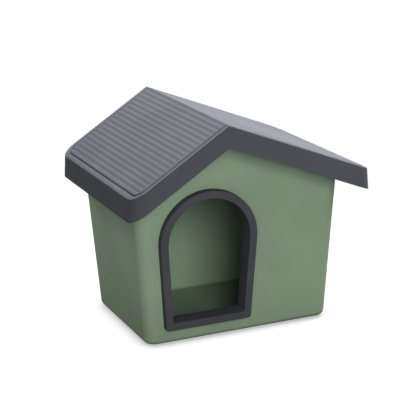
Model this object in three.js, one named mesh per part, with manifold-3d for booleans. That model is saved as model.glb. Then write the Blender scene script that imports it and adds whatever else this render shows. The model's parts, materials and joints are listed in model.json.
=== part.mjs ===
// Dog house in millimetres, +Z up, front towards -Y, standing on z = 0.
// A one-piece drafted cabin with an off-centre arched doorway carries a lift-off gable
// roof whose ridge is off-centre too. The doorway has a two-part frame, the back gable a
// louvred vent, the floor four rubber feet, and four knobs hold the roof from inside.

import * as THREE from 'three';
import { mergeVertices } from 'three/addons/utils/BufferGeometryUtils.js';
import Module from 'manifold-3d';

const wasm = await Module();
wasm.setup();

// ---- Clearances ----
const seatGap = 0.3; // between pieces that rest on each other
const sideGap = 0.5; // around pieces that pass through a cut-out
const overlap = 0.6; // how far fused features reach into each other
const beyond = 5; // how far a cutting shape runs past the piece
const ridgeSnap = 0.001; // points this near to the ridge's plane are put on it

// ---- Roof ----
const roofWidth = 800; // across the fascia's bottom edge
const roofDepth = 674; // front to back, across the fascia's bottom edge
const ridgeHeight = 708;
const ridgeX = -88;
const eaveHeight = 514;
const fasciaDrop = 66.5; // vertical height of the fascia
const fasciaFlare = 4.2; // how far its bottom edge stands out
const fasciaWall = 4;
const roofSkin = 5; // measured vertically
const roofCornerRadius = 47;
const roofEdgeFillet = 2.4;
const rimWidth = 10; // flat border round the ribbed panels
const rimCove = 3; // run of the slope from the border into the groove
const grooveDepth = 2.6;
const panelInset = 18; // from the roof's edge to the panel's wall
const panelFillet = 1.2;
const panelLift = 0.7; // of the panel above the border
const ribMargin = 8; // plain panel in front of and behind the ribs' ends
const ribPitch = 18.8; // along the slope
const ribHeight = 1.5; // from the hollows between the ribs to their crests
const hollowLean = 0.04; // how far each hollow's bottom lies off its middle, in pitches
const eaveStrip = 4.5; // plain strip at the eaves
const ridgeStrip = 1; // plain strip on each side of the ridge
const lipDrop = 26; // locating lip under the roof
const lipWall = 3;
const lipClearance = 2;
const stiffenerDrop = 17;
const stiffenerWall = 3;
const stiffenerSpacing = 120;
const bossRadius = 13;
const bossWebWall = 3;

// ---- Cabin, with heights measured from its underside ----
const footHeight = 4; // the underside stands this far off the ground
const sideSetback = 86.8; // from the roof's side edges to the cabin's underside
const frontSetback = 142.2; // from the roof's front edge to the cabin's underside
const backSetback = 78.2;
const sideDraft = 0.067;
const endDraft = 0.0635;
const cabinWall = 4;
const cabinFloor = 4;
const cabinCornerRadius = 38; // at the underside
const cabinEaveRadius = 48.2; // the corners' radius at the eaves' height
const cabinBaseFillet = 16;
const cabinRimWidth = 8; // flange round the top, outside the wall
const cabinRimHeight = 6;
const shelfDrop = 30; // from the eaves down to the corner shelves that carry the roof
const shelfThickness = 6;
const shelfMargin = 22; // shelf beyond the knob's axis
const floorRibHeight = 2.4;
const floorRibWall = 3;
const floorRibSpacing = 120;
const floorRibInset = 20; // from the underside's edges

// ---- Doorway and its frame, with heights measured up the front wall ----
const doorMargin = 54.7; // from the cabin's left side to the frame's edge, at the underside
const doorBottom = 52;
const doorBottomWidth = 285;
const doorFlare = 0.0658; // each side leans out by this much per mm
const doorCrown = 490.7;
const doorCornerRadius = 9;
const frameFace = 24.5; // width of the frame seen from the front
const frameProud = 24; // how far it stands out from the wall
const frameReveal = 53; // depth of the whole jamb
const frameWall = 3.5;
const frameFillet = 2.4;
const jambCornerRadius = 3;
const ringFlange = 20;
const ringThickness = 3.5;
const ringCollar = 10;
const ringCollarWall = 2.5;
const frameBossRadius = 5;
const screwRadius = 1.9;
const screwHeadRadius = 4.2;
const screwHeadHeight = 2.8;
const screwReach = 13; // into the frame's boss
const screwHeights = [116, 242]; // on each side of the doorway
const screwAngles = [38, 90, 142]; // round the arch, in degrees
const screwSpread = 62; // each side of the centre, along the sill

// ---- Roof knobs ----
const knobInset = 37; // from the cabin's inner walls to the knob's axis
const knobRadius = 17;
const knobLobe = 1.8;
const knobLobes = 6;
const knobHeight = 13;
const knobEdge = 2;
const knobCollarRadius = 10;
const knobCollarHeight = 4;
const knobShankRadius = 4;
const knobReach = 20; // into the roof's boss

// ---- Feet ----
const footRadius = 21;
const footInset = 54; // from the underside's edges to the foot's axis
const footEdge = 1.2;
const footStemRadius = 5;
const footBarbRadius = 8;
const footBarbHeight = 5;

// ---- Vent ----
const ventHeight = 542; // centre, measured up the back wall
const ventWidth = 150;
const ventTall = 56;
const ventCornerRadius = 14;
const ventBorder = 10;
const ventFlange = 3;
const ventEdge = 1.2;
const ventCollarWall = 2.5;
const ventCollarReach = 7; // past the wall's inner face
const ventSlats = 4;
const slatThickness = 2;
const slatDepth = 9;
const slatAngle = 40;
const slatRecess = 1.6; // of the slats' middle behind the wall's outer face
const catchWidth = 30;
const catchHeight = 1.4;
const catchDepth = 3;

// ---- Facets ----
const roofCornerSteps = 8;
const cabinCornerSteps = 8;
const archSteps = 30;
const hollowSteps = 6;
const smallCornerSteps = 4;
const roundSteps = 24;
const boreSteps = 16;
const screwSteps = 12;
const lobeSteps = 6;

// ---- Derived sizes ----
const roofHalfX = roofWidth / 2 - fasciaFlare;
const roofHalfY = roofDepth / 2 - fasciaFlare;
const slopeLeft = (ridgeHeight - eaveHeight) / (roofHalfX + ridgeX);
const slopeRight = (ridgeHeight - eaveHeight) / (roofHalfX - ridgeX);
const roofReach = roofWidth + roofDepth; // larger than the roof in every direction
const cabinTop = -(roofSkin + seatGap); // below the roof's top face
const cabinWidth = roofWidth - 2 * sideSetback;
const cabinDepth = roofDepth - frontSetback - backSetback;
const floorFillet = cabinBaseFillet - cabinWall; // inside, between floor and walls
const cabinFrontY = -roofDepth / 2 + frontSetback;
const cabinBackY = cabinFrontY + cabinDepth;
const cornerRadiusGrowth = (cabinEaveRadius - cabinCornerRadius) / eaveHeight;
const shelfHeight = eaveHeight - shelfDrop;
const doorX = -cabinWidth / 2 + doorMargin + doorBottomWidth / 2;
const wallLean = Math.atan(endDraft);
const sleeveInset = frameFace - frameWall;
const doorLean = Math.atan(doorFlare);
const archRadius =
  (doorBottomWidth / 2 + doorFlare * (doorCrown - doorBottom)) / (1 / Math.cos(doorLean) + doorFlare);
const archHeight = doorCrown - archRadius;

// ---- Materials ----
const greenPlastic = new THREE.MeshStandardMaterial({
  color: 0x74886f,
  roughness: 0.5,
  metalness: 0,
});
const greyPlastic = new THREE.MeshStandardMaterial({
  color: 0x50545d,
  roughness: 0.48,
  metalness: 0,
});
const blackRubber = new THREE.MeshStandardMaterial({
  color: 0x242527,
  roughness: 0.85,
  metalness: 0,
});
const screwSteel = new THREE.MeshStandardMaterial({
  color: 0xb9bbbe,
  roughness: 0.35,
  metalness: 1,
});

// ---- Solids from geometry ----

function solid(geometry) {
  const bare = geometry.clone();
  bare.deleteAttribute('normal');
  bare.deleteAttribute('uv');
  const merged = mergeVertices(bare, 1e-4);
  const mesh = new wasm.Mesh({
    numProp: 3,
    vertProperties: new Float32Array(merged.attributes.position.array),
    triVerts: new Uint32Array(merged.index.array),
  });
  return new wasm.Manifold(mesh);
}

function toGeometry(manifold) {
  const { vertProperties, triVerts } = manifold.getMesh();
  const geometry = new THREE.BufferGeometry();
  geometry.setAttribute('position', new THREE.BufferAttribute(vertProperties, 3));
  geometry.setIndex(new THREE.BufferAttribute(triVerts, 1));
  geometry.computeVertexNormals();
  return geometry;
}

function joined(solids) {
  return solids.reduce((all, next) => all.add(next));
}

function moved(manifold, x, y, z) {
  return manifold.transform(new THREE.Matrix4().makeTranslation(x, y, z).elements);
}

function box(x0, x1, y0, y1, z0, z1) {
  const geometry = new THREE.BoxGeometry(x1 - x0, y1 - y0, z1 - z0);
  geometry.translate((x0 + x1) / 2, (y0 + y1) / 2, (z0 + z1) / 2);
  return solid(geometry);
}

function upright(radius, z0, z1, steps = roundSteps) {
  const geometry = new THREE.CylinderGeometry(radius, radius, z1 - z0, steps);
  geometry.rotateX(Math.PI / 2);
  geometry.translate(0, 0, (z0 + z1) / 2);
  return solid(geometry);
}

// A solid turned about Z from [radius, z] pairs that start and end on the axis.
function turned(profile, steps) {
  const points = profile.map(([radius, z]) => new THREE.Vector2(radius, z));
  const geometry = new THREE.LatheGeometry(points, steps);
  geometry.rotateX(Math.PI / 2);
  return solid(geometry);
}

// A solid through [outline, z] pairs with equal point counts, from low z to high.
function loft(rings) {
  const count = rings[0][0].length;
  const positions = rings.flatMap(([outline, z]) => outline.flatMap((p) => [p.x, p.y, z]));
  const index = [];
  for (let ring = 0; ring + 1 < rings.length; ring++) {
    for (let i = 0; i < count; i++) {
      const a = ring * count + i;
      const b = ring * count + ((i + 1) % count);
      index.push(a, b, b + count, a, b + count, a + count);
    }
  }
  const top = (rings.length - 1) * count;
  for (const [a, b, c] of THREE.ShapeUtils.triangulateShape(rings[0][0], [])) {
    index.push(a, c, b, top + a, top + b, top + c);
  }
  const geometry = new THREE.BufferGeometry();
  geometry.setAttribute('position', new THREE.Float32BufferAttribute(positions, 3));
  geometry.setIndex(index);
  return solid(geometry);
}

function prism(outline, z0, z1) {
  return loft([[outline, z0], [outline, z1]]);
}

// ---- Outlines, all counter-clockwise ----

function arc(cx, cy, radius, from, to, steps) {
  const points = [];
  for (let i = 0; i <= steps; i++) {
    const angle = from + ((to - from) * i) / steps;
    points.push(new THREE.Vector2(cx + radius * Math.cos(angle), cy + radius * Math.sin(angle)));
  }
  return points;
}

function roundedRectangle(x0, x1, y0, y1, radius, steps) {
  const quarter = Math.PI / 2;
  return [
    ...arc(x1 - radius, y0 + radius, radius, -quarter, 0, steps),
    ...arc(x1 - radius, y1 - radius, radius, 0, quarter, steps),
    ...arc(x0 + radius, y1 - radius, radius, quarter, 2 * quarter, steps),
    ...arc(x0 + radius, y0 + radius, radius, 2 * quarter, 3 * quarter, steps),
  ];
}

// The roof in plan, drawn in by a distance from its top edge.
function roofOutline(inset) {
  const x = roofHalfX - inset;
  const y = roofHalfY - inset;
  return roundedRectangle(-x, x, -y, y, roofCornerRadius - inset, roofCornerSteps);
}

// The cabin in plan at a height, drawn in by a distance from its outer face.
function cabinOutline(height, inset) {
  const x = cabinWidth / 2 + sideDraft * height - inset;
  const front = cabinFrontY - endDraft * height + inset;
  const back = cabinBackY + endDraft * height - inset;
  const radius = cabinCornerRadius + cornerRadiusGrowth * height - inset;
  return roundedRectangle(-x, x, front, back, radius, cabinCornerSteps);
}

// The doorway on the front wall, drawn in by a distance from the frame's outer edge:
// a sill with small corners, sides that lean out and an arch tangent to them.
function doorOutline(inset) {
  const corner = Math.max(doorCornerRadius - inset, jambCornerRadius);
  const cx = doorBottomWidth / 2 + (inset + corner) * (doorFlare - 1 / Math.cos(doorLean));
  const cy = doorBottom + inset + corner;
  return [
    ...arc(cx, cy, corner, -Math.PI / 2, -doorLean, smallCornerSteps),
    ...arc(0, archHeight, archRadius - inset, -doorLean, Math.PI + doorLean, archSteps),
    ...arc(-cx, cy, corner, Math.PI + doorLean, 1.5 * Math.PI, smallCornerSteps),
  ];
}

function ventOutline(inset) {
  const x = ventWidth / 2 - inset;
  const y = ventTall / 2 - inset;
  const radius = ventCornerRadius - inset;
  return roundedRectangle(-x, x, ventHeight - y, ventHeight + y, radius, smallCornerSteps);
}

// A rounded upper edge as [inset, z] pairs, from the wall up to the top face at z.
function edgeSteps(radius, z, steps = 3) {
  const rings = [];
  for (let i = 0; i <= steps; i++) {
    const angle = ((Math.PI / 2) * i) / steps;
    rings.push([radius * (1 - Math.cos(angle)), z - radius * (1 - Math.sin(angle))]);
  }
  return rings;
}

// ---- Places ----

// Cuts the triangles that cross the plane x = 0, so that every one lies on one side of it.
function splitTriangles(points, triangles) {
  const cuts = new Map();
  const cut = (a, b) => {
    const key = a < b ? `${a},${b}` : `${b},${a}`;
    if (!cuts.has(key)) {
      const share = points[a].x / (points[a].x - points[b].x);
      cuts.set(key, points.length);
      points.push(points[a].clone().lerp(points[b], share).setX(0));
    }
    return cuts.get(key);
  };
  return triangles.flatMap((triangle) => {
    const crossed = [0, 1, 2].some((i) => points[triangle[i]].x * points[triangle[(i + 1) % 3]].x < 0);
    if (!crossed) return triangle;
    return [-1, 1].flatMap((side) => {
      const polygon = [];
      triangle.forEach((a, i) => {
        const b = triangle[(i + 1) % 3];
        if (side * points[a].x >= 0) polygon.push(a);
        if (points[a].x * points[b].x < 0) polygon.push(cut(a, b));
      });
      const fan = [];
      for (let i = 2; i < polygon.length; i++) fan.push(polygon[0], polygon[i - 1], polygon[i]);
      return fan;
    });
  });
}

// What belongs to the roof is drawn flat, with z = 0 on its top face, and folded along
// the ridge: every point sinks by its slope times its distance from the ridge.
function fold(flat) {
  const { vertProperties, triVerts } = flat.getMesh();
  const points = [];
  for (let i = 0; i < vertProperties.length; i += 3) {
    const [x, y, z] = vertProperties.slice(i, i + 3);
    const away = Math.abs(x - ridgeX) < ridgeSnap ? 0 : x - ridgeX;
    points.push(new THREE.Vector3(away, y, z));
  }
  const triangles = [];
  for (let i = 0; i < triVerts.length; i += 3) triangles.push([...triVerts.slice(i, i + 3)]);
  const index = splitTriangles(points, triangles);
  const positions = points.flatMap(({ x, y, z }) => {
    const sunk = x < 0 ? -slopeLeft * x : slopeRight * x;
    return [x + ridgeX, y, z + ridgeHeight - sunk];
  });
  const geometry = new THREE.BufferGeometry();
  geometry.setAttribute('position', new THREE.Float32BufferAttribute(positions, 3));
  geometry.setIndex(index);
  return solid(geometry);
}

// A slab under the roof between two levels, both measured from its top face.
function roofSlab(low, high) {
  return fold(box(-roofReach / 2, roofReach / 2, -roofReach / 2, roofReach / 2, low, high));
}

// The local frame of a wall: X along it, Y up it and Z out of it.
function placeOnWall(group, x, y, turn) {
  group.position.set(x, y, footHeight);
  group.rotation.set(Math.PI / 2 + wallLean, 0, turn, 'ZXY');
  group.updateMatrix();
  return group;
}

function corners(x, front, back) {
  return {
    front_left: [-x, front],
    front_right: [x, front],
    back_left: [-x, back],
    back_right: [x, back],
  };
}

const frontWall = placeOnWall(new THREE.Group(), doorX, cabinFrontY, 0);
const backWall = placeOnWall(new THREE.Group(), ridgeX, cabinBackY, Math.PI);

const shelfLevel = shelfHeight - footHeight - shelfThickness; // its underside, in the cabin
const knobPlaces = corners(
  cabinWidth / 2 + sideDraft * shelfLevel - cabinWall - knobInset,
  cabinFrontY - endDraft * shelfLevel + cabinWall + knobInset,
  cabinBackY + endDraft * shelfLevel - cabinWall - knobInset,
);
const footPlaces = corners(
  cabinWidth / 2 - footInset,
  cabinFrontY + footInset,
  cabinBackY - footInset,
);

// The frame's screws run along the middle of its hollow back, as [x, height] pairs.
function screwPlaces() {
  const middle = (frameWall + sleeveInset) / 2;
  const edge = (height) =>
    doorBottomWidth / 2 + doorFlare * (height - doorBottom) - middle / Math.cos(doorLean);
  const sides = screwHeights.flatMap((height) => [
    [edge(height), height],
    [-edge(height), height],
  ]);
  const arch = screwAngles.map((degrees) => {
    const angle = THREE.MathUtils.degToRad(degrees);
    const radius = archRadius - middle;
    return [radius * Math.cos(angle), archHeight + radius * Math.sin(angle)];
  });
  const sill = [-screwSpread, screwSpread].map((x) => [x, doorBottom + middle]);
  return [...sides, ...arch, ...sill];
}

// ---- Roof ----

// The hollows between the ribs of one slope: each falls from a crest, flattens out and
// rises a little faster to the next one. The body fills them up to above the panel.
function roofHollows(slope, side) {
  const start = roofHalfX - panelInset - eaveStrip;
  const run = start - side * ridgeX - ridgeStrip;
  const count = Math.round(run / (ribPitch * Math.cos(Math.atan(slope))));
  const outline = [[start, beyond]];
  for (let i = 0; i <= count * hollowSteps; i++) {
    const step = (i % hollowSteps) / hollowSteps;
    const along = Math.floor(i / hollowSteps) + step + hollowLean * Math.sin(Math.PI * step);
    const depth = (ribHeight * (1 - Math.cos(2 * Math.PI * step))) / 2;
    outline.push([start - (run * along) / count, panelLift - depth]);
  }
  outline.push([start - run, beyond]);
  const shape = new THREE.Shape(outline.map(([x, z]) => new THREE.Vector2(side * x, z)));
  const reach = roofHalfY - panelInset - ribMargin;
  const geometry = new THREE.ExtrudeGeometry(shape, { depth: 2 * reach, bevelEnabled: false });
  geometry.rotateX(Math.PI / 2);
  geometry.translate(0, reach, 0);
  return solid(geometry);
}

// The recess inside the roof's border, and the ribbed panel that rises from it.
function roofRecess() {
  return loft([
    [roofOutline(rimWidth + rimCove), -grooveDepth],
    [roofOutline(rimWidth), 0],
    [roofOutline(rimWidth), beyond],
  ]);
}

function roofPanel() {
  const panel = loft([
    [roofOutline(panelInset), -grooveDepth - overlap],
    ...edgeSteps(panelFillet, panelLift).map(([inset, z]) => [roofOutline(panelInset + inset), z]),
  ]);
  const ribbed = prism(roofOutline(panelInset + eaveStrip / 2), -grooveDepth, beyond);
  const hollows = roofHollows(slopeLeft, -1).add(roofHollows(slopeRight, 1));
  return panel.subtract(hollows.intersect(ribbed));
}

function makeRoof() {
  const outside = loft([
    [roofOutline(-fasciaFlare), -fasciaDrop],
    ...edgeSteps(roofEdgeFillet, 0).map(([inset, z]) => [roofOutline(inset), z]),
  ]);
  const hollow = loft([
    [roofOutline(fasciaWall - fasciaFlare), -fasciaDrop - overlap],
    [roofOutline(fasciaWall), -roofSkin],
  ]);

  // The lip fits the cabin a little below the lowest level that it reaches.
  const lipLevel = eaveHeight - lipDrop - footHeight;
  const lipOutline = (inset) => cabinOutline(lipLevel, cabinWall + lipClearance + inset);
  const underside = overlap - roofSkin;
  const lip = prism(lipOutline(0), -lipDrop, underside)
    .subtract(prism(lipOutline(lipWall), -lipDrop - beyond, beyond));
  const lipArea = prism(lipOutline(lipWall / 2), -ridgeHeight, beyond);

  const stiffeners = [];
  const middleY = (cabinFrontY + cabinBackY) / 2;
  const pairs = Math.floor(cabinDepth / 2 / stiffenerSpacing);
  for (let i = -pairs; i <= pairs; i++) {
    const y = middleY + i * stiffenerSpacing - stiffenerWall / 2;
    stiffeners.push(box(-roofHalfX, roofHalfX, y, y + stiffenerWall, -stiffenerDrop, underside));
  }
  for (const [x, y] of Object.values(knobPlaces)) {
    const half = bossWebWall / 2;
    const outX = Math.sign(x) * roofHalfX;
    const outY = Math.sign(y - middleY) * roofHalfY;
    const [x0, x1] = [Math.min(x, outX), Math.max(x, outX)];
    const [y0, y1] = [Math.min(y, outY), Math.max(y, outY)];
    stiffeners.push(box(x0, x1, y - half, y + half, -lipDrop, underside));
    stiffeners.push(box(x - half, x + half, y0, y1, -lipDrop, underside));
  }
  const ribbing = joined(stiffeners).intersect(lipArea);

  const skin = outside.subtract(hollow).subtract(roofRecess());
  const shell = joined([skin, roofPanel(), lip, ribbing]);
  const bossBottom = shelfHeight + seatGap;
  const stem = upright(bossRadius, bossBottom, ridgeHeight);
  const bore = upright(
    knobShankRadius + seatGap,
    bossBottom - beyond,
    bossBottom + knobReach + seatGap,
    boreSteps,
  );
  const places = Object.values(knobPlaces);
  const stems = joined(places.map(([x, y]) => moved(stem, x, y, 0)));
  const bores = joined(places.map(([x, y]) => moved(bore, x, y, 0)));
  return fold(shell).add(stems.intersect(roofSlab(-ridgeHeight, underside))).subtract(bores);
}

// ---- Cabin ----

// The cabin's form from a level up, drawn in by a distance, with a rounded lower edge.
function cabinForm(inset, level, fillet) {
  const lower = edgeSteps(fillet, 0).reverse().map(([drawn, drop]) => {
    const height = level - drop;
    return [cabinOutline(height, inset + drawn), height];
  });
  const form = loft([...lower, [cabinOutline(ridgeHeight, inset), ridgeHeight]]);
  return moved(form, 0, 0, footHeight);
}

function makeFloorRibs() {
  const shapes = [];
  const x1 = cabinWidth / 2 - floorRibInset;
  const y0 = cabinFrontY + floorRibInset;
  const y1 = cabinBackY - floorRibInset;
  const z0 = footHeight - floorRibHeight;
  const z1 = footHeight + overlap;
  const half = floorRibWall / 2;
  const columns = Math.floor(x1 / floorRibSpacing);
  for (let i = -columns; i <= columns; i++) {
    const x = i * floorRibSpacing;
    shapes.push(box(x - half, x + half, y0, y1, z0, z1));
  }
  const rows = Math.floor((y1 - y0) / 2 / floorRibSpacing);
  for (let i = -rows; i <= rows; i++) {
    const y = (y0 + y1) / 2 + i * floorRibSpacing;
    shapes.push(box(-x1, x1, y - half, y + half, z0, z1));
  }
  const clearing = upright(footRadius + sideGap, 0, footHeight);
  const clearings = Object.values(footPlaces).map(([x, y]) => moved(clearing, x, y, 0));
  return joined(shapes).subtract(joined(clearings));
}

function makeShelves() {
  const level = shelfHeight - shelfThickness;
  const across = knobInset + cabinWall + beyond;
  const shelves = Object.values(knobPlaces).map(([x, y]) => {
    const [x0, x1] = x < 0 ? [x - across, x + shelfMargin] : [x - shelfMargin, x + across];
    const [y0, y1] = y < 0 ? [y - across, y + shelfMargin] : [y - shelfMargin, y + across];
    const outline = roundedRectangle(x0, x1, y0, y1, shelfMargin, smallCornerSteps);
    const hole = upright(
      knobShankRadius + sideGap,
      level - beyond,
      shelfHeight + beyond,
      boreSteps,
    );
    return prism(outline, level, shelfHeight).subtract(moved(hole, x, y, 0));
  });
  return joined(shelves).intersect(cabinForm(cabinWall / 2, cabinFloor, floorFillet));
}

function makeCabin() {
  const outside = cabinForm(0, 0, cabinBaseFillet);
  const inside = cabinForm(cabinWall, cabinFloor, floorFillet);
  const rimForm = cabinForm(-cabinRimWidth, 0, cabinBaseFillet);
  const rim = rimForm.intersect(roofSlab(cabinTop - cabinRimHeight, cabinTop));
  const walls = outside.intersect(roofSlab(-ridgeHeight, cabinTop)).add(rim).subtract(inside);

  const through = cabinWall + beyond;
  const doorway = prism(doorOutline(sleeveInset - sideGap), -through, beyond);
  const vent = prism(ventOutline(ventBorder - ventCollarWall - sideGap), -through, beyond);
  const screwHole = upright(screwRadius + seatGap, -through, beyond, screwSteps);
  const screwHoles = screwPlaces().map(([x, y]) => moved(screwHole, x, y, 0));
  const stemTop = footHeight + cabinFloor + beyond;
  const stemHole = upright(footStemRadius + seatGap, 0, stemTop, boreSteps);
  const stemHoles = Object.values(footPlaces).map(([x, y]) => moved(stemHole, x, y, 0));
  const frontCuts = joined([doorway, ...screwHoles]).transform(frontWall.matrix.elements);
  const backCut = vent.transform(backWall.matrix.elements);

  return joined([walls, makeShelves(), makeFloorRibs()])
    .subtract(frontCuts)
    .subtract(backCut)
    .subtract(joined(stemHoles));
}

// ---- Door frame, drawn on the front wall with z = 0 on its outer face ----

function makeDoorFrame() {
  const face = loft([
    [doorOutline(0), seatGap],
    ...edgeSteps(frameFillet, frameProud).map(([inset, z]) => [doorOutline(inset), z]),
  ]);
  const hollow = prism(doorOutline(frameWall), 0, frameProud - frameWall);
  const sleeve = prism(
    doorOutline(sleeveInset),
    frameProud - frameReveal,
    frameProud - frameWall / 2,
  );
  const opening = loft([
    [doorOutline(frameFace), frameProud - frameReveal - beyond],
    [doorOutline(frameFace), frameProud - frameFillet / 2],
    [doorOutline(frameFace - frameFillet / 2), frameProud + overlap],
  ]);
  const boss = upright(frameBossRadius, seatGap, frameProud - frameWall / 2, screwSteps);
  const pilot = upright(screwRadius + seatGap, 0, screwReach + seatGap, screwSteps);
  const places = screwPlaces();
  const bosses = joined(places.map(([x, y]) => moved(boss, x, y, 0)));
  const pilots = joined(places.map(([x, y]) => moved(pilot, x, y, 0)));
  return face.subtract(hollow).add(sleeve).add(bosses).subtract(pilots).subtract(opening);
}

const ringTop = -(cabinWall + seatGap);
const ringBottom = ringTop - ringThickness;

function makeDoorRing() {
  const inner = sleeveInset - seatGap;
  const flange = prism(doorOutline(inner - ringFlange), ringBottom, ringTop);
  const collar = prism(doorOutline(inner - ringCollarWall), ringBottom - ringCollar, ringTop);
  const opening = prism(doorOutline(inner), ringBottom - ringCollar - beyond, 0);
  const hole = upright(screwRadius + seatGap, ringBottom - beyond, 0, screwSteps);
  const holes = joined(screwPlaces().map(([x, y]) => moved(hole, x, y, 0)));
  return flange.add(collar).subtract(opening).subtract(holes);
}

function makeScrew() {
  const seat = ringBottom - seatGap;
  const profile = [
    [0, seat - screwHeadHeight],
    [0.6 * screwHeadRadius, seat - screwHeadHeight],
    [screwHeadRadius, seat - screwHeadHeight / 2],
    [screwHeadRadius, seat],
    [screwRadius, seat],
    [screwRadius, screwReach - screwRadius],
    [0, screwReach],
  ];
  return turned(profile, screwSteps);
}

// ---- Vent, drawn on the back wall with z = 0 on its outer face ----

function makeVent() {
  const front = seatGap + ventFlange;
  const back = -(cabinWall + ventCollarReach);
  const flange = loft([
    [ventOutline(0), seatGap],
    ...edgeSteps(ventEdge, front, 2).map(([inset, z]) => [ventOutline(inset), z]),
  ]);
  const collar = prism(ventOutline(ventBorder - ventCollarWall), back, seatGap + overlap);
  const window = prism(ventOutline(ventBorder), back - beyond, front + beyond);
  const slatHalf = ventWidth / 2 - ventBorder + overlap;
  const pitch = (ventTall - 2 * ventBorder) / ventSlats;
  const slats = [];
  for (let i = 0; i < ventSlats; i++) {
    const geometry = new THREE.BoxGeometry(2 * slatHalf, slatThickness, slatDepth);
    geometry.rotateX(THREE.MathUtils.degToRad(slatAngle));
    geometry.translate(0, ventHeight + (i - (ventSlats - 1) / 2) * pitch, -slatRecess);
    slats.push(solid(geometry));
  }
  const catchTop = -(cabinWall + seatGap);
  const catchEdge = ventTall / 2 - ventBorder + ventCollarWall;
  const catches = [-1, 1].map((side) => {
    const y = ventHeight + side * catchEdge;
    const half = catchWidth / 2;
    return box(-half, half, y - catchHeight, y + catchHeight, catchTop - catchDepth, catchTop);
  });
  const frame = joined([flange, collar, ...catches]).subtract(window);
  return joined([frame, ...slats]);
}

// ---- Foot, drawn on its own axis with z = 0 on the ground ----

function makeFoot() {
  const seat = footHeight - seatGap;
  const barb = footHeight + cabinFloor + seatGap;
  const profile = [
    [0, 0],
    [footRadius - footEdge, 0],
    [footRadius, footEdge],
    [footRadius, seat],
    [footStemRadius, seat],
    [footStemRadius, barb],
    [footBarbRadius, barb],
    [footStemRadius, barb + footBarbHeight],
    [0, barb + footBarbHeight],
  ];
  return turned(profile, roundSteps);
}

// ---- Knob, drawn on its own axis with z = 0 on the shelf's underside ----

function knobOutline(inset) {
  const points = [];
  const steps = lobeSteps * knobLobes;
  for (let i = 0; i < steps; i++) {
    const angle = (2 * Math.PI * i) / steps;
    const radius = knobRadius - inset + knobLobe * Math.cos(knobLobes * angle);
    points.push(new THREE.Vector2(radius * Math.cos(angle), radius * Math.sin(angle)));
  }
  return points;
}

function makeKnob() {
  const top = -seatGap - knobCollarHeight;
  const bottom = top - knobHeight;
  const grip = loft([
    [knobOutline(knobEdge), bottom],
    [knobOutline(0), bottom + knobEdge],
    [knobOutline(0), top - knobEdge],
    [knobOutline(knobEdge), top],
  ]);
  const collar = upright(knobCollarRadius, top - overlap, -seatGap);
  const tip = shelfThickness + knobReach;
  const profile = [
    [0, -seatGap - overlap],
    [knobShankRadius, -seatGap - overlap],
    [knobShankRadius, tip - knobShankRadius / 2],
    [knobShankRadius / 2, tip],
    [0, tip],
  ];
  return joined([grip, collar, turned(profile, boreSteps)]);
}

// ---- Scene graph ----

function addMesh(parent, name, manifold, material, position = [0, 0, 0]) {
  const mesh = new THREE.Mesh(toGeometry(manifold), material.clone());
  mesh.name = name;
  mesh.position.set(...position);
  parent.add(mesh);
}

const group = new THREE.Group();
group.name = 'dog_house';
group.add(frontWall, backWall);

addMesh(group, 'roof_shell', makeRoof(), greyPlastic);
addMesh(group, 'cabin_shell', makeCabin(), greenPlastic);
addMesh(frontWall, 'door_frame', makeDoorFrame(), greyPlastic);
addMesh(frontWall, 'door_frame_ring', makeDoorRing(), greyPlastic);
addMesh(backWall, 'vent_grille', makeVent(), greyPlastic);
screwPlaces().forEach(([x, y], i) => {
  addMesh(frontWall, `door_screw_${i + 1}`, makeScrew(), screwSteel, [x, y, 0]);
});

for (const [place, [x, y]] of Object.entries(knobPlaces)) {
  const level = shelfHeight - shelfThickness;
  addMesh(group, `roof_knob_${place}`, makeKnob(), greyPlastic, [x, y, level]);
}
for (const [place, [x, y]] of Object.entries(footPlaces)) {
  addMesh(group, `foot_${place}`, makeFoot(), blackRubber, [x, y, 0]);
}

export default group;
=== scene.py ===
"""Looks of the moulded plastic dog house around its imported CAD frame."""

import json
import math

import bpy
from mathutils import Matrix, Vector

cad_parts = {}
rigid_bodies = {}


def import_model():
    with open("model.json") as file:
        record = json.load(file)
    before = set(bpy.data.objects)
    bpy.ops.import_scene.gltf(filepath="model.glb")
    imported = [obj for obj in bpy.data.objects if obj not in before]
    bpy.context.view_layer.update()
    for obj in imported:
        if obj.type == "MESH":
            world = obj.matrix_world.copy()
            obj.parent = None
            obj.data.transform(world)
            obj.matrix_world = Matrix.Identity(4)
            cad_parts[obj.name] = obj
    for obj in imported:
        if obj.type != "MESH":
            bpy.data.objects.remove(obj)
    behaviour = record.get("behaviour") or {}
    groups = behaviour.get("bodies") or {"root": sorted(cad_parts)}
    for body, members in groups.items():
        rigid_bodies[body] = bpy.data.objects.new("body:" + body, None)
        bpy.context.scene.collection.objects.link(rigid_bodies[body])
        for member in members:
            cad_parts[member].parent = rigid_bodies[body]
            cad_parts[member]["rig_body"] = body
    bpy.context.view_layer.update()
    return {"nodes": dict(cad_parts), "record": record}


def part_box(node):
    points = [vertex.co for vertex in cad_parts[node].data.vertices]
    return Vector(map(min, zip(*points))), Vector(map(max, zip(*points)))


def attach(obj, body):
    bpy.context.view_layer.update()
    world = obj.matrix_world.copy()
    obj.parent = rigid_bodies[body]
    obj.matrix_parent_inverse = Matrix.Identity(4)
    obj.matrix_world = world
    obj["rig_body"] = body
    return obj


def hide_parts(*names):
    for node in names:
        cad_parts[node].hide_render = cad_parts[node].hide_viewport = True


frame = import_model()

# ---- Camera, fitted to edges of the photograph; angles in degrees ----
IMAGE_PIXELS = 400
FOCAL_PIXELS = 1368.5
SENSOR_MM = 36.0
CAMERA_PLACE = (-1.6974, -3.8761, 1.6015)
CAMERA_AZIMUTH = -23.10
CAMERA_ELEVATION = 16.02
CAMERA_ROLL = 1.304

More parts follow.
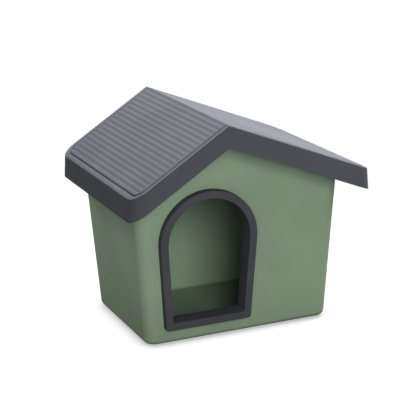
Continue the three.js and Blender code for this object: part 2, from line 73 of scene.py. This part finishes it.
# ---- Colours, as linear red, green and blue ----
WHITE = (1.0, 1.0, 1.0)
SAGE_GREEN = (0.190, 0.254, 0.176)
ANTHRACITE = (0.051, 0.0535, 0.0605)
RUBBER_BLACK = (0.018, 0.018, 0.020)
ZINC = (0.62, 0.63, 0.65)

# ---- Floor, in metres ----
FLOOR_RADIUS = 1.5
FLOOR_STEPS = 96
FLOOR_DIFFUSE = 0.05
FLOOR_GLOW = (0.50, 0.97)  # in the deepest painted shadow and in the open
SHADE_REACH = 0.05
SHADE_RANGE = (0.15, 0.90)  # how open the deepest shade and the open floor are
SHADE_SAMPLES = 16
FOOTPRINT_CENTRE = (0.0, 0.032, 0.0)
FOOTPRINT_HALF = (0.313, 0.227, 1.0)
FLOOR_BOUNCE = 0.82
BOUNCE_RANGE = (0.08, 0.60)  # distances from the cabin where the painted bounce light starts and is full

# ---- Light ----
AMBIENT = 0.10
LAMP_TARGET = (0.0, 0.0, 0.35)
LAMPS = {
    # degrees around and above the house, distance and size in metres, power in watts
    "key_lamp": (-10, 18.5, 8.0, 3.3, 494),
    "left_lamp": (-33, 14, 5.0, 1.8, 20),
    "side_lamp": (90, 50, 2.4, 1.6, 100),
    "right_lamp": (90, 74, 2.6, 1.6, 262),
    "top_lamp": (0, 88, 2.4, 1.6, 22),
    "back_lamp": (-150, 35, 5.0, 2.0, 105),
    "far_left_lamp": (-75, 12, 5.0, 2.0, 28),
}

# ---- Plastic; scales are noise waves to a metre, ranges are parts of a noise ----
PLASTIC_GLOSS = 0.005
FLOW_SCALE = 4.0
FLOW_RANGE = (0.35, 0.65)
FLOW_SHIFT = 0.05
SPECK_SCALE = 420.0
SPECK_RANGE = (0.62, 0.75)
SPECK_SHARE = 0.25
# Edges are lightened in the base colour, as wear and as a painted highlight
EDGE_RADIUS = 0.0012
EDGE_SAMPLES = 6
EDGE_RANGE = (0.995, 0.90)  # cosines of the turn where wear and the painted edge highlight start and are full
EDGE_LIGHT = 1.35
EDGE_WEAR_AND_HIGHLIGHT = 0.55
PATCH_SCALE = 22.0
PATCH_RANGE = (0.3, 0.7)
PATCH_SMOOTHER = 0.04
PATCH_ROUGHER = 0.05
SINK_SCALE = 9.0
SINK_DEPTH = 0.004
SINK_STRENGTH = 0.10
GRAIN_SCALE = 1300.0
GRAIN_DEPTH = 0.0002

# ---- Rubber and zinc ----
DUST_SCALE = 90.0
DUST_RANGE = (0.45, 0.7)
DUST_LIGHT = 1.9
RUBBER_ROUGHNESS = (0.72, 0.88)
RUBBER_GRAIN_SCALE = 900.0
RUBBER_GRAIN = 0.4
BLOOM_SCALE = 320.0
BLOOM_RANGE = (0.35, 0.7)
BLOOM_SHADE = 0.78
ZINC_RANGE = (0.3, 0.7)
ZINC_ROUGHNESS = (0.28, 0.46)

# ---- Smooth shading ----
SMOOTH_DEGREES = 34
MERGE_DISTANCE = 1e-5

# ---- Small fittings, in metres ----
CORNERS = ("front_left", "front_right", "back_left", "back_right")
THREAD_RINGS = 8  # to each turn of a thread
EDGE_STEPS = 4

KNOB_STEPS = 48
KNOB_LOBES = 6
KNOB_RADIUS = 0.0170
KNOB_LOBE = 0.0018
KNOB_HEIGHT = 0.0130
KNOB_EDGE = 0.0020
KNOB_DISH = 0.0030
KNOB_DISH_RINGS = (
    # radius, share of the dish's depth, share of the lobes
    (0.0045, 1.0, 0.0),
    (0.0100, 1.0, 0.2),
    (0.0122, 0.5, 0.6),
    (0.0130, 0.0, 0.8),
)
KNOB_COLLAR_RADIUS = 0.0100
KNOB_COLLAR_HEIGHT = 0.0040
KNOB_SHANK_RADIUS = 0.0040
KNOB_LENGTH = 0.0433
KNOB_THREAD = 0.0006
KNOB_THREAD_START = 0.0008
KNOB_PITCH = 0.0025
KNOB_TIP_RADIUS = 0.0020
KNOB_TIP_LENGTH = 0.0020

FOOT_STEPS = 48
FOOT_RADIUS = 0.0210
FOOT_GROOVES = (0.0070, 0.0118, 0.0166)
FOOT_GROOVE_DEPTH = 0.0008
FOOT_GROOVE_MOUTH = 0.0014  # half its width
FOOT_GROOVE_FLOOR = 0.0009  # half its width
FOOT_SEAT = 0.0037
FOOT_STEM = 0.0050
FOOT_BARB = 0.0083
FOOT_BARB_RADIUS = 0.0080
FOOT_HEIGHT = 0.0133
FOOT_DIMPLE = 0.0012

SCREW_COUNT = 9
SCREW_STEPS = 24
SCREW_RADIUS = 0.0019
SCREW_THREAD = 0.0005
SCREW_THREAD_START = 0.0015
SCREW_PITCH = 0.0014
SCREW_HEAD_RADIUS = 0.0042
SCREW_HEAD_HEIGHT = 0.0028
SCREW_HEAD_RINGS = (
    # share of the head's radius, share of its height
    (0.66, 0.0),
    (0.80, 0.10),
    (0.92, 0.28),
    (0.98, 0.52),
    (1.0, 0.75),
    (1.0, 1.0),
)
SCREW_RECESS = 0.0014
SCREW_SEAT = -0.0081
SCREW_REACH = 0.0130
SCREW_TIP_LENGTH = 0.0006
WALL_LEAN = math.atan(0.0635)  # of the front wall


def linear_colour(colour, strength=1.0):
    return (*(channel * strength for channel in colour), 1.0)


def direction(azimuth, elevation):
    """The way from the house to a place around it; azimuth 0 is in front of the door."""
    around = math.radians(azimuth)
    above = math.radians(elevation)
    return Vector((
        math.sin(around) * math.cos(above),
        -math.cos(around) * math.cos(above),
        math.sin(above),
    ))


# ---- Node helpers ----


class Nodes:
    """Adds nodes to one tree and wires them by socket name."""

    def __init__(self, tree):
        self.tree = tree

    def add(self, kind, inputs=None, **settings):
        node = self.tree.nodes.new(kind)
        for name, value in settings.items():
            setattr(node, name, value)
        for name, value in (inputs or {}).items():
            self.put(node.inputs[name], value)
        return node

    def put(self, socket, value):
        if isinstance(value, bpy.types.NodeSocket):
            self.tree.links.new(value, socket)
        else:
            socket.default_value = value

    def math(self, operation, first, second):
        node = self.add("ShaderNodeMath", operation=operation)
        self.put(node.inputs[0], first)
        self.put(node.inputs[1], second)
        return node.outputs[0]

    def mix_colour(self, factor, first, second, blend="MIX"):
        node = self.add("ShaderNodeMix", data_type="RGBA", blend_type=blend)
        self.put(node.inputs["Factor"], factor)
        self.put(node.inputs[6], first)
        self.put(node.inputs[7], second)
        return node.outputs[2]

    def ramp(self, value, low, high, out_low=0.0, out_high=1.0):
        """A smooth step, from out_low where the value is low to out_high where it is high."""
        inputs = {
            "Value": value,
            "From Min": low,
            "From Max": high,
            "To Min": out_low,
            "To Max": out_high,
        }
        return self.add("ShaderNodeMapRange", inputs, interpolation_type="SMOOTHSTEP").outputs[0]

    def noise(self, place, scale, detail):
        inputs = {"Vector": place, "Scale": scale, "Detail": detail}
        return self.add("ShaderNodeTexNoise", inputs).outputs["Fac"]

    def seen_rays(self):
        """1 for the rays that show the white studio, 0 for the ones that only light."""
        path = self.add("ShaderNodeLightPath").outputs
        seen = self.math("MAXIMUM", path["Is Camera Ray"], path["Is Transmission Ray"])
        return self.math("MAXIMUM", seen, path["Is Glossy Ray"])


# ---- Camera, floor and light ----


def make_camera():
    azimuth = math.radians(CAMERA_AZIMUTH)
    roll = math.radians(CAMERA_ROLL)
    back = direction(CAMERA_AZIMUTH, CAMERA_ELEVATION)
    right = Vector((math.cos(azimuth), math.sin(azimuth), 0.0))
    up = back.cross(right)
    rolled_right = math.cos(roll) * right - math.sin(roll) * up
    rolled_up = math.sin(roll) * right + math.cos(roll) * up
    turn = Matrix((rolled_right, rolled_up, back)).transposed().to_4x4()
    data = bpy.data.cameras.new("camera")
    data.sensor_width = SENSOR_MM
    data.lens = FOCAL_PIXELS / IMAGE_PIXELS * SENSOR_MM
    camera = bpy.data.objects.new("camera", data)
    camera.matrix_world = Matrix.Translation(CAMERA_PLACE) @ turn
    bpy.context.scene.collection.objects.link(camera)
    bpy.context.scene.camera = camera


def make_world():
    """White wherever the background is seen, and a plain soft fill for the rest."""
    world = bpy.data.worlds.new("studio")
    world.use_nodes = True
    bpy.context.scene.world = world
    nodes = Nodes(world.node_tree)
    world.node_tree.nodes.clear()
    strength = nodes.math("MAXIMUM", nodes.seen_rays(), AMBIENT)
    inputs = {"Color": linear_colour(WHITE), "Strength": strength}
    background = nodes.add("ShaderNodeBackground", inputs)
    output = nodes.add("ShaderNodeOutputWorld")
    nodes.put(output.inputs["Surface"], background.outputs[0])


def distance_from_house(nodes):
    """How far a point of the floor lies outside the cabin's footprint."""
    place = nodes.add("ShaderNodeTexCoord").outputs["Object"]
    for operation, vector in (
        ("SUBTRACT", FOOTPRINT_CENTRE),
        ("ABSOLUTE", None),
        ("SUBTRACT", FOOTPRINT_HALF),
        ("MAXIMUM", (0.0, 0.0, 0.0)),
    ):
        node = nodes.add("ShaderNodeVectorMath", {0: place}, operation=operation)
        if vector is not None:
            nodes.put(node.inputs[1], vector)
        place = node.outputs["Vector"]
    return nodes.add("ShaderNodeVectorMath", {0: place}, operation="LENGTH").outputs["Value"]


def floor_material():
    """White where it is seen, with a painted soft shadow by the house; it glows painted bounce light
    further out, none near the house.
    """
    material = bpy.data.materials.new("floor")
    material.use_nodes = True
    nodes = Nodes(material.node_tree)
    material.node_tree.nodes.clear()
    white = linear_colour(WHITE)

    # Painted contact shadow: ambient occlusion dims the floor's glow by the house
    near = nodes.add("ShaderNodeAmbientOcclusion", {"Distance": SHADE_REACH}, samples=SHADE_SAMPLES)
    shade = nodes.ramp(near.outputs["AO"], *SHADE_RANGE, *FLOOR_GLOW)
    glow = nodes.add("ShaderNodeEmission", {"Color": white, "Strength": shade})
    lit = nodes.add("ShaderNodeBsdfDiffuse", {"Color": linear_colour(WHITE, FLOOR_DIFFUSE)})
    shown = nodes.add("ShaderNodeAddShader", {0: glow.outputs[0], 1: lit.outputs[0]})

    # Painted bounce light: the floor glows for the rays that only light, dark near the house so the
    # cabin's bottom is shaded
    bounce = nodes.ramp(distance_from_house(nodes), *BOUNCE_RANGE, 0.0, FLOOR_BOUNCE)
    painted_bounce = nodes.add("ShaderNodeEmission", {"Color": white, "Strength": bounce})
    inputs = {0: nodes.seen_rays(), 1: painted_bounce.outputs[0], 2: shown.outputs[0]}
    mixed = nodes.add("ShaderNodeMixShader", inputs)
    output = nodes.add("ShaderNodeOutputMaterial")
    nodes.put(output.inputs["Surface"], mixed.outputs[0])
    return material


def make_floor():
    bpy.ops.mesh.primitive_circle_add(vertices=FLOOR_STEPS, radius=FLOOR_RADIUS, fill_type="NGON")
    floor = bpy.context.object
    floor.name = "floor"
    floor.data.materials.append(floor_material())


def make_lamp(name, azimuth, elevation, distance, size, power):
    """A square soft box that looks at the house."""
    data = bpy.data.lights.new(name, "AREA")
    data.shape = "SQUARE"
    data.size = size
    data.energy = power
    away = direction(azimuth, elevation)
    lamp = bpy.data.objects.new(name, data)
    lamp.location = Vector(LAMP_TARGET) + distance * away
    lamp.rotation_mode = "QUATERNION"
    lamp.rotation_quaternion = away.to_track_quat("Z", "Y")
    bpy.context.scene.collection.objects.link(lamp)


# ---- Materials ----


def new_material(name):
    """A material, its node helper, its shader and the place on the piece."""
    material = bpy.data.materials.new(name)
    material.use_nodes = True
    nodes = Nodes(material.node_tree)
    shader = material.node_tree.nodes["Principled BSDF"]
    place = nodes.add("ShaderNodeTexCoord").outputs["Object"]
    return material, nodes, shader, place


def wear_and_edge_highlight(nodes, tint, rounded):
    """Lightens the colour where the rounded normal leaves the face's own: wear and a painted edge
    highlight.
    """
    sharp = nodes.add("ShaderNodeNewGeometry").outputs["Normal"]
    normals = {0: rounded, 1: sharp}
    facing = nodes.add("ShaderNodeVectorMath", normals, operation="DOT_PRODUCT")
    # Wear and painted edge highlight: the base colour is lightened along rounded edges
    edge = nodes.ramp(facing.outputs["Value"], *EDGE_RANGE)
    worn_and_lit = nodes.mix_colour(1.0, tint, linear_colour(WHITE, EDGE_LIGHT), "MULTIPLY")
    return nodes.mix_colour(nodes.math("MULTIPLY", edge, EDGE_WEAR_AND_HIGHLIGHT), tint, worn_and_lit)


def plastic(name, colour, roughness, grain):
    """Moulded plastic: a fine spark-eroded grain, faint flow shades and worn edges with a painted
    highlight.
    """
    material, nodes, shader, place = new_material(name)
    dark = linear_colour(colour, 1.0 - FLOW_SHIFT)
    light = linear_colour(colour, 1.0 + FLOW_SHIFT)
    flow = nodes.ramp(nodes.noise(place, FLOW_SCALE, 3.0), *FLOW_RANGE)
    tint = nodes.mix_colour(flow, dark, light)
    speck = nodes.ramp(nodes.noise(place, SPECK_SCALE, 3.0), *SPECK_RANGE, 0.0, SPECK_SHARE)
    tint = nodes.mix_colour(speck, tint, dark)

    bevel = nodes.add("ShaderNodeBevel", {"Radius": EDGE_RADIUS}, samples=EDGE_SAMPLES)
    rounded = bevel.outputs[0]
    nodes.put(shader.inputs["Base Color"], wear_and_edge_highlight(nodes, tint, rounded))
    shader.inputs["Specular IOR Level"].default_value = PLASTIC_GLOSS

    patches = nodes.noise(place, PATCH_SCALE, 4.0)
    ends = (roughness - PATCH_SMOOTHER, roughness + PATCH_ROUGHER)
    nodes.put(shader.inputs["Roughness"], nodes.ramp(patches, *PATCH_RANGE, *ends))

    inputs = {
        "Height": nodes.noise(place, SINK_SCALE, 1.0),
        "Distance": SINK_DEPTH,
        "Strength": SINK_STRENGTH,
        "Normal": rounded,
    }
    sink = nodes.add("ShaderNodeBump", inputs)
    inputs = {
        "Height": nodes.noise(place, GRAIN_SCALE, 2.0),
        "Distance": GRAIN_DEPTH,
        "Strength": grain,
        "Normal": sink.outputs[0],
    }
    bump = nodes.add("ShaderNodeBump", inputs)
    nodes.put(shader.inputs["Normal"], bump.outputs[0])
    return material


def rubber(name):
    """Black rubber with a matt grain and a little dust."""
    material, nodes, shader, place = new_material(name)
    dust = nodes.ramp(nodes.noise(place, DUST_SCALE, 4.0), *DUST_RANGE)
    dusty = linear_colour(RUBBER_BLACK, DUST_LIGHT)
    tint = nodes.mix_colour(dust, linear_colour(RUBBER_BLACK), dusty)
    nodes.put(shader.inputs["Base Color"], tint)
    nodes.put(shader.inputs["Roughness"], nodes.ramp(dust, 0.0, 1.0, *RUBBER_ROUGHNESS))
    inputs = {
        "Height": nodes.noise(place, RUBBER_GRAIN_SCALE, 2.0),
        "Distance": GRAIN_DEPTH,
        "Strength": RUBBER_GRAIN,
    }
    bump = nodes.add("ShaderNodeBump", inputs)
    nodes.put(shader.inputs["Normal"], bump.outputs[0])
    return material


def zinc_steel(name):
    """Zinc-plated steel with a faint cloudy bloom."""
    material, nodes, shader, place = new_material(name)
    shader.inputs["Metallic"].default_value = 1.0
    bloom = nodes.noise(place, BLOOM_SCALE, 4.0)
    cloudy = linear_colour(ZINC, BLOOM_SHADE)
    tint = nodes.mix_colour(nodes.ramp(bloom, *BLOOM_RANGE), linear_colour(ZINC), cloudy)
    nodes.put(shader.inputs["Base Color"], tint)
    nodes.put(shader.inputs["Roughness"], nodes.ramp(bloom, *ZINC_RANGE, *ZINC_ROUGHNESS))
    return material


MATERIALS = {
    "green_plastic": plastic("sage plastic", SAGE_GREEN, roughness=0.50, grain=0.25),
    "grey_plastic": plastic("anthracite plastic", ANTHRACITE, roughness=0.46, grain=0.30),
    "rubber": rubber("black rubber"),
    "screw_steel": zinc_steel("zinc-plated steel"),
}


# ---- Smooth shading of faceted pieces ----


def smoothing_group():
    """Shades a faceted piece smooth, apart from edges sharper than SMOOTH_DEGREES."""
    tree = bpy.data.node_groups.new("smooth facets", "GeometryNodeTree")
    tree.interface.new_socket("Geometry", in_out="INPUT", socket_type="NodeSocketGeometry")
    tree.interface.new_socket("Geometry", in_out="OUTPUT", socket_type="NodeSocketGeometry")
    nodes = Nodes(tree)
    start = nodes.add("NodeGroupInput").outputs[0]
    plain = nodes.add("GeometryNodeRemoveAttribute", {"Geometry": start, "Name": "custom_normal"})
    inputs = {"Geometry": plain.outputs[0], "Distance": MERGE_DISTANCE}
    merged = nodes.add("GeometryNodeMergeByDistance", inputs).outputs[0]
    faces = nodes.add("GeometryNodeSetShadeSmooth", {"Geometry": merged}, domain="FACE")
    angle = nodes.add("GeometryNodeInputMeshEdgeAngle").outputs["Unsigned Angle"]
    inputs = {0: angle, 1: math.radians(SMOOTH_DEGREES)}
    gentle = nodes.add("FunctionNodeCompare", inputs, operation="LESS_EQUAL").outputs[0]
    inputs = {"Geometry": faces.outputs[0], "Shade Smooth": gentle}
    edges = nodes.add("GeometryNodeSetShadeSmooth", inputs, domain="EDGE")
    nodes.add("NodeGroupOutput", {0: edges.outputs[0]})
    return tree


def smooth_facets(piece, smooth):
    modifier = piece.modifiers.new("smooth facets", "NODES")
    modifier.node_group = smooth
    weighted = piece.modifiers.new("weighted normals", "WEIGHTED_NORMAL")
    weighted.keep_sharp = True


def dress_nodes(smooth):
    slots = {part["node"]: part["material_slot"] for part in frame["record"]["subparts"]}
    for name, node in frame["nodes"].items():
        node.material_slots[0].material = MATERIALS[slots[name]]
        smooth_facets(node, smooth)


# ---- Small fittings, finer than their CAD solids ----


def circle(radius, level, steps, wave=0.0, waves=0):
    """A ring of points around the Z axis, with lobes where a wave is given."""
    points = []
    for index in range(steps):
        angle = 2.0 * math.pi * index / steps
        reach = radius + wave * math.cos(waves * angle)
        points.append((reach * math.cos(angle), reach * math.sin(angle), level))
    return points


def cross(reach, half_width, level):
    """A plus-shaped ring for a cross recess; its 24 points match SCREW_STEPS."""
    middle = 0.5 * (reach + half_width)
    arm = (
        (reach, 0.0),
        (reach, half_width),
        (middle, half_width),
        (half_width, half_width),
        (half_width, middle),
        (half_width, reach),
    )
    points = []
    for quarter in range(4):
        for x, y in arm:
            for _ in range(quarter):
                x, y = -y, x
            points.append((x, y, level))
    return points


def thread(radius, depth, pitch, low, high, steps):
    """Rings of a round-bottomed thread that runs out at both ends."""
    count = math.ceil((high - low) / pitch * THREAD_RINGS)
    rings = []
    for row in range(count + 1):
        level = low + (high - low) * row / count
        cut = depth * min(1.0, (level - low) / pitch, (high - level) / pitch)
        ring = []
        for index in range(steps):
            angle = 2.0 * math.pi * index / steps
            wave = 0.5 - 0.5 * math.cos(2.0 * math.pi * level / pitch - angle)
            reach = radius - cut * wave
            ring.append((reach * math.cos(angle), reach * math.sin(angle), level))
        rings.append(ring)
    return rings


def skin(name, first, rings, last, place):
    """A closed mesh through rings of equal length, between levels of two end points."""
    steps = len(rings[0])
    points = [(0.0, 0.0, first)]
    for ring in rings:
        points.extend(ring)
    points.append((0.0, 0.0, last))
    faces = []
    for index in range(steps):
        after = (index + 1) % steps
        faces.append((0, 1 + after, 1 + index))
        for row in range(len(rings) - 1):
            low = 1 + row * steps
            high = low + steps
            faces.append((low + index, low + after, high + after, high + index))
        top = 1 + (len(rings) - 1) * steps
        faces.append((top + index, top + after, len(points) - 1))
    mesh = bpy.data.meshes.new(name)
    mesh.from_pydata(points, [], faces)
    mesh.transform(place)
    mesh.update()
    piece = bpy.data.objects.new(name, mesh)
    bpy.context.scene.collection.objects.link(piece)
    return piece


def grip_ring(radius, level, share=1.0):
    """A ring of the knob's grip, with a share of its lobes."""
    return circle(radius, level, KNOB_STEPS, share * KNOB_LOBE, KNOB_LOBES)


def grip_rings():
    """The lobed grip, from the dish in its underside over two rounded edges."""
    rings = [grip_ring(radius, depth * KNOB_DISH, share) for radius, depth, share in KNOB_DISH_RINGS]
    turns = [0.5 * math.pi * step / EDGE_STEPS for step in range(EDGE_STEPS + 1)]
    for turn in turns:
        inset = KNOB_EDGE * (1.0 - math.sin(turn))
        level = KNOB_EDGE * (1.0 - math.cos(turn))
        rings.append(grip_ring(KNOB_RADIUS - inset, level))
    for turn in turns:
        inset = KNOB_EDGE * (1.0 - math.cos(turn))
        level = KNOB_HEIGHT - KNOB_EDGE * (1.0 - math.sin(turn))
        rings.append(grip_ring(KNOB_RADIUS - inset, level))
    return rings


def knob_rings():
    """A lobed grip, a collar and a threaded shank, from below."""
    collar_top = KNOB_HEIGHT + KNOB_COLLAR_HEIGHT
    collar = (
        (KNOB_COLLAR_RADIUS + 0.0012, KNOB_HEIGHT),
        (KNOB_COLLAR_RADIUS + 0.0002, KNOB_HEIGHT + 0.0004),
        (KNOB_COLLAR_RADIUS - 0.0002, KNOB_HEIGHT + 0.0014),
        (KNOB_COLLAR_RADIUS - 0.0002, collar_top - 0.0008),
        (KNOB_COLLAR_RADIUS - 0.0010, collar_top),
        (KNOB_SHANK_RADIUS, collar_top),
    )
    low = collar_top + KNOB_THREAD_START
    high = KNOB_LENGTH - KNOB_TIP_LENGTH
    return [
        *grip_rings(),
        *(circle(radius, level, KNOB_STEPS) for radius, level in collar),
        *thread(KNOB_SHANK_RADIUS, KNOB_THREAD, KNOB_PITCH, low, high, KNOB_STEPS),
        circle(KNOB_TIP_RADIUS, KNOB_LENGTH, KNOB_STEPS),
    ]


def foot_rings():
    """A grooved rubber sole with a rounded rim, and the barbed stem on top of it."""
    profile = [(0.0036, FOOT_GROOVE_DEPTH), (0.0042, 0.0)]
    for groove in FOOT_GROOVES:
        profile += [
            (groove - FOOT_GROOVE_MOUTH, 0.0),
            (groove - FOOT_GROOVE_FLOOR, FOOT_GROOVE_DEPTH),
            (groove + FOOT_GROOVE_FLOOR, FOOT_GROOVE_DEPTH),
            (groove + FOOT_GROOVE_MOUTH, 0.0),
        ]
    profile += [
        (FOOT_RADIUS - 0.0012, 0.0),
        (FOOT_RADIUS - 0.0005, 0.0003),
        (FOOT_RADIUS - 0.0001, 0.0008),
        (FOOT_RADIUS, 0.0014),
        (FOOT_RADIUS, 0.0029),
        (FOOT_RADIUS - 0.0003, 0.0034),
        (FOOT_RADIUS - 0.0010, FOOT_SEAT),
        (FOOT_STEM, FOOT_SEAT),
        (FOOT_STEM, FOOT_BARB),
        (FOOT_BARB_RADIUS - 0.0003, FOOT_BARB),
        (FOOT_BARB_RADIUS, FOOT_BARB + 0.0003),
        (FOOT_BARB_RADIUS - 0.0001, FOOT_BARB + 0.0008),
        (FOOT_STEM + 0.0008, FOOT_HEIGHT - 0.0008),
        (FOOT_STEM - 0.0002, FOOT_HEIGHT),
        (0.0018, FOOT_HEIGHT),
        (0.0014, FOOT_HEIGHT - FOOT_DIMPLE),
    ]
    return [circle(radius, level, FOOT_STEPS) for radius, level in profile]


def screw_rings():
    """A pan head with a cross recess and a threaded shank; the head is at the low end."""
    top = SCREW_SEAT - SCREW_HEAD_HEIGHT
    rings = [
        cross(0.0013, 0.00035, top + SCREW_RECESS),
        cross(0.0020, 0.00050, top + 0.0001),
        cross(0.0021, 0.00055, top),
    ]
    for share, depth in SCREW_HEAD_RINGS:
        level = top + SCREW_HEAD_HEIGHT * depth
        rings.append(circle(SCREW_HEAD_RADIUS * share, level, SCREW_STEPS))
    rings.append(circle(SCREW_RADIUS, SCREW_SEAT, SCREW_STEPS))
    low = SCREW_SEAT + SCREW_THREAD_START
    high = SCREW_REACH - SCREW_RADIUS
    rings += thread(SCREW_RADIUS, SCREW_THREAD, SCREW_PITCH, low, high, SCREW_STEPS)
    rings.append(circle(0.5 * SCREW_RADIUS, SCREW_REACH - SCREW_TIP_LENGTH, SCREW_STEPS))
    return rings


def fit_piece(piece, node_name, material, smooth):
    """Puts a finer piece in its CAD node's place, on the same body and material slot."""
    node = frame["nodes"][node_name]
    piece.data.materials.append(MATERIALS[material])
    smooth_facets(piece, smooth)
    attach(piece, node["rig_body"])
    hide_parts(node_name)


def upright_place(node_name):
    """The lowest point of an upright node's axis."""
    low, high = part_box(node_name)
    centre = 0.5 * (low + high)
    return Matrix.Translation((centre.x, centre.y, low.z))


def make_knobs(smooth):
    for corner in CORNERS:
        name = "roof_knob_" + corner
        place = upright_place(name)
        piece = skin("knob_" + corner, KNOB_DISH, knob_rings(), KNOB_LENGTH, place)
        fit_piece(piece, name, "grey_plastic", smooth)


def make_feet(smooth):
    for corner in CORNERS:
        name = "foot_" + corner
        place = upright_place(name)
        last = FOOT_HEIGHT - FOOT_DIMPLE
        piece = skin("sole_" + corner, FOOT_GROOVE_DEPTH, foot_rings(), last, place)
        fit_piece(piece, name, "rubber", smooth)


def make_screws(smooth):
    """Screws in the front wall: each lies on its CAD solid's axis and ends at its tip."""
    out = Vector((0.0, -math.cos(WALL_LEAN), -math.sin(WALL_LEAN)))
    turn = out.to_track_quat("Z", "Y").to_matrix().to_4x4()
    first = SCREW_SEAT - SCREW_HEAD_HEIGHT + SCREW_RECESS
    for number in range(1, SCREW_COUNT + 1):
        name = f"door_screw_{number}"
        corners = [vertex.co for vertex in frame["nodes"][name].data.vertices]
        tip = max(corners, key=out.dot)
        place = Matrix.Translation(tip - SCREW_REACH * out) @ turn
        piece = skin(f"screw_{number}", first, screw_rings(), SCREW_REACH, place)
        fit_piece(piece, name, "screw_steel", smooth)


make_camera()
make_world()
make_floor()
for name, values in LAMPS.items():
    make_lamp(name, *values)

smooth = smoothing_group()
dress_nodes(smooth)
make_knobs(smooth)
make_feet(smooth)
make_screws(smooth)

scene = bpy.context.scene
scene.view_settings.view_transform = "Standard"


def write_sizes():
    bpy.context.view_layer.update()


write_sizes()
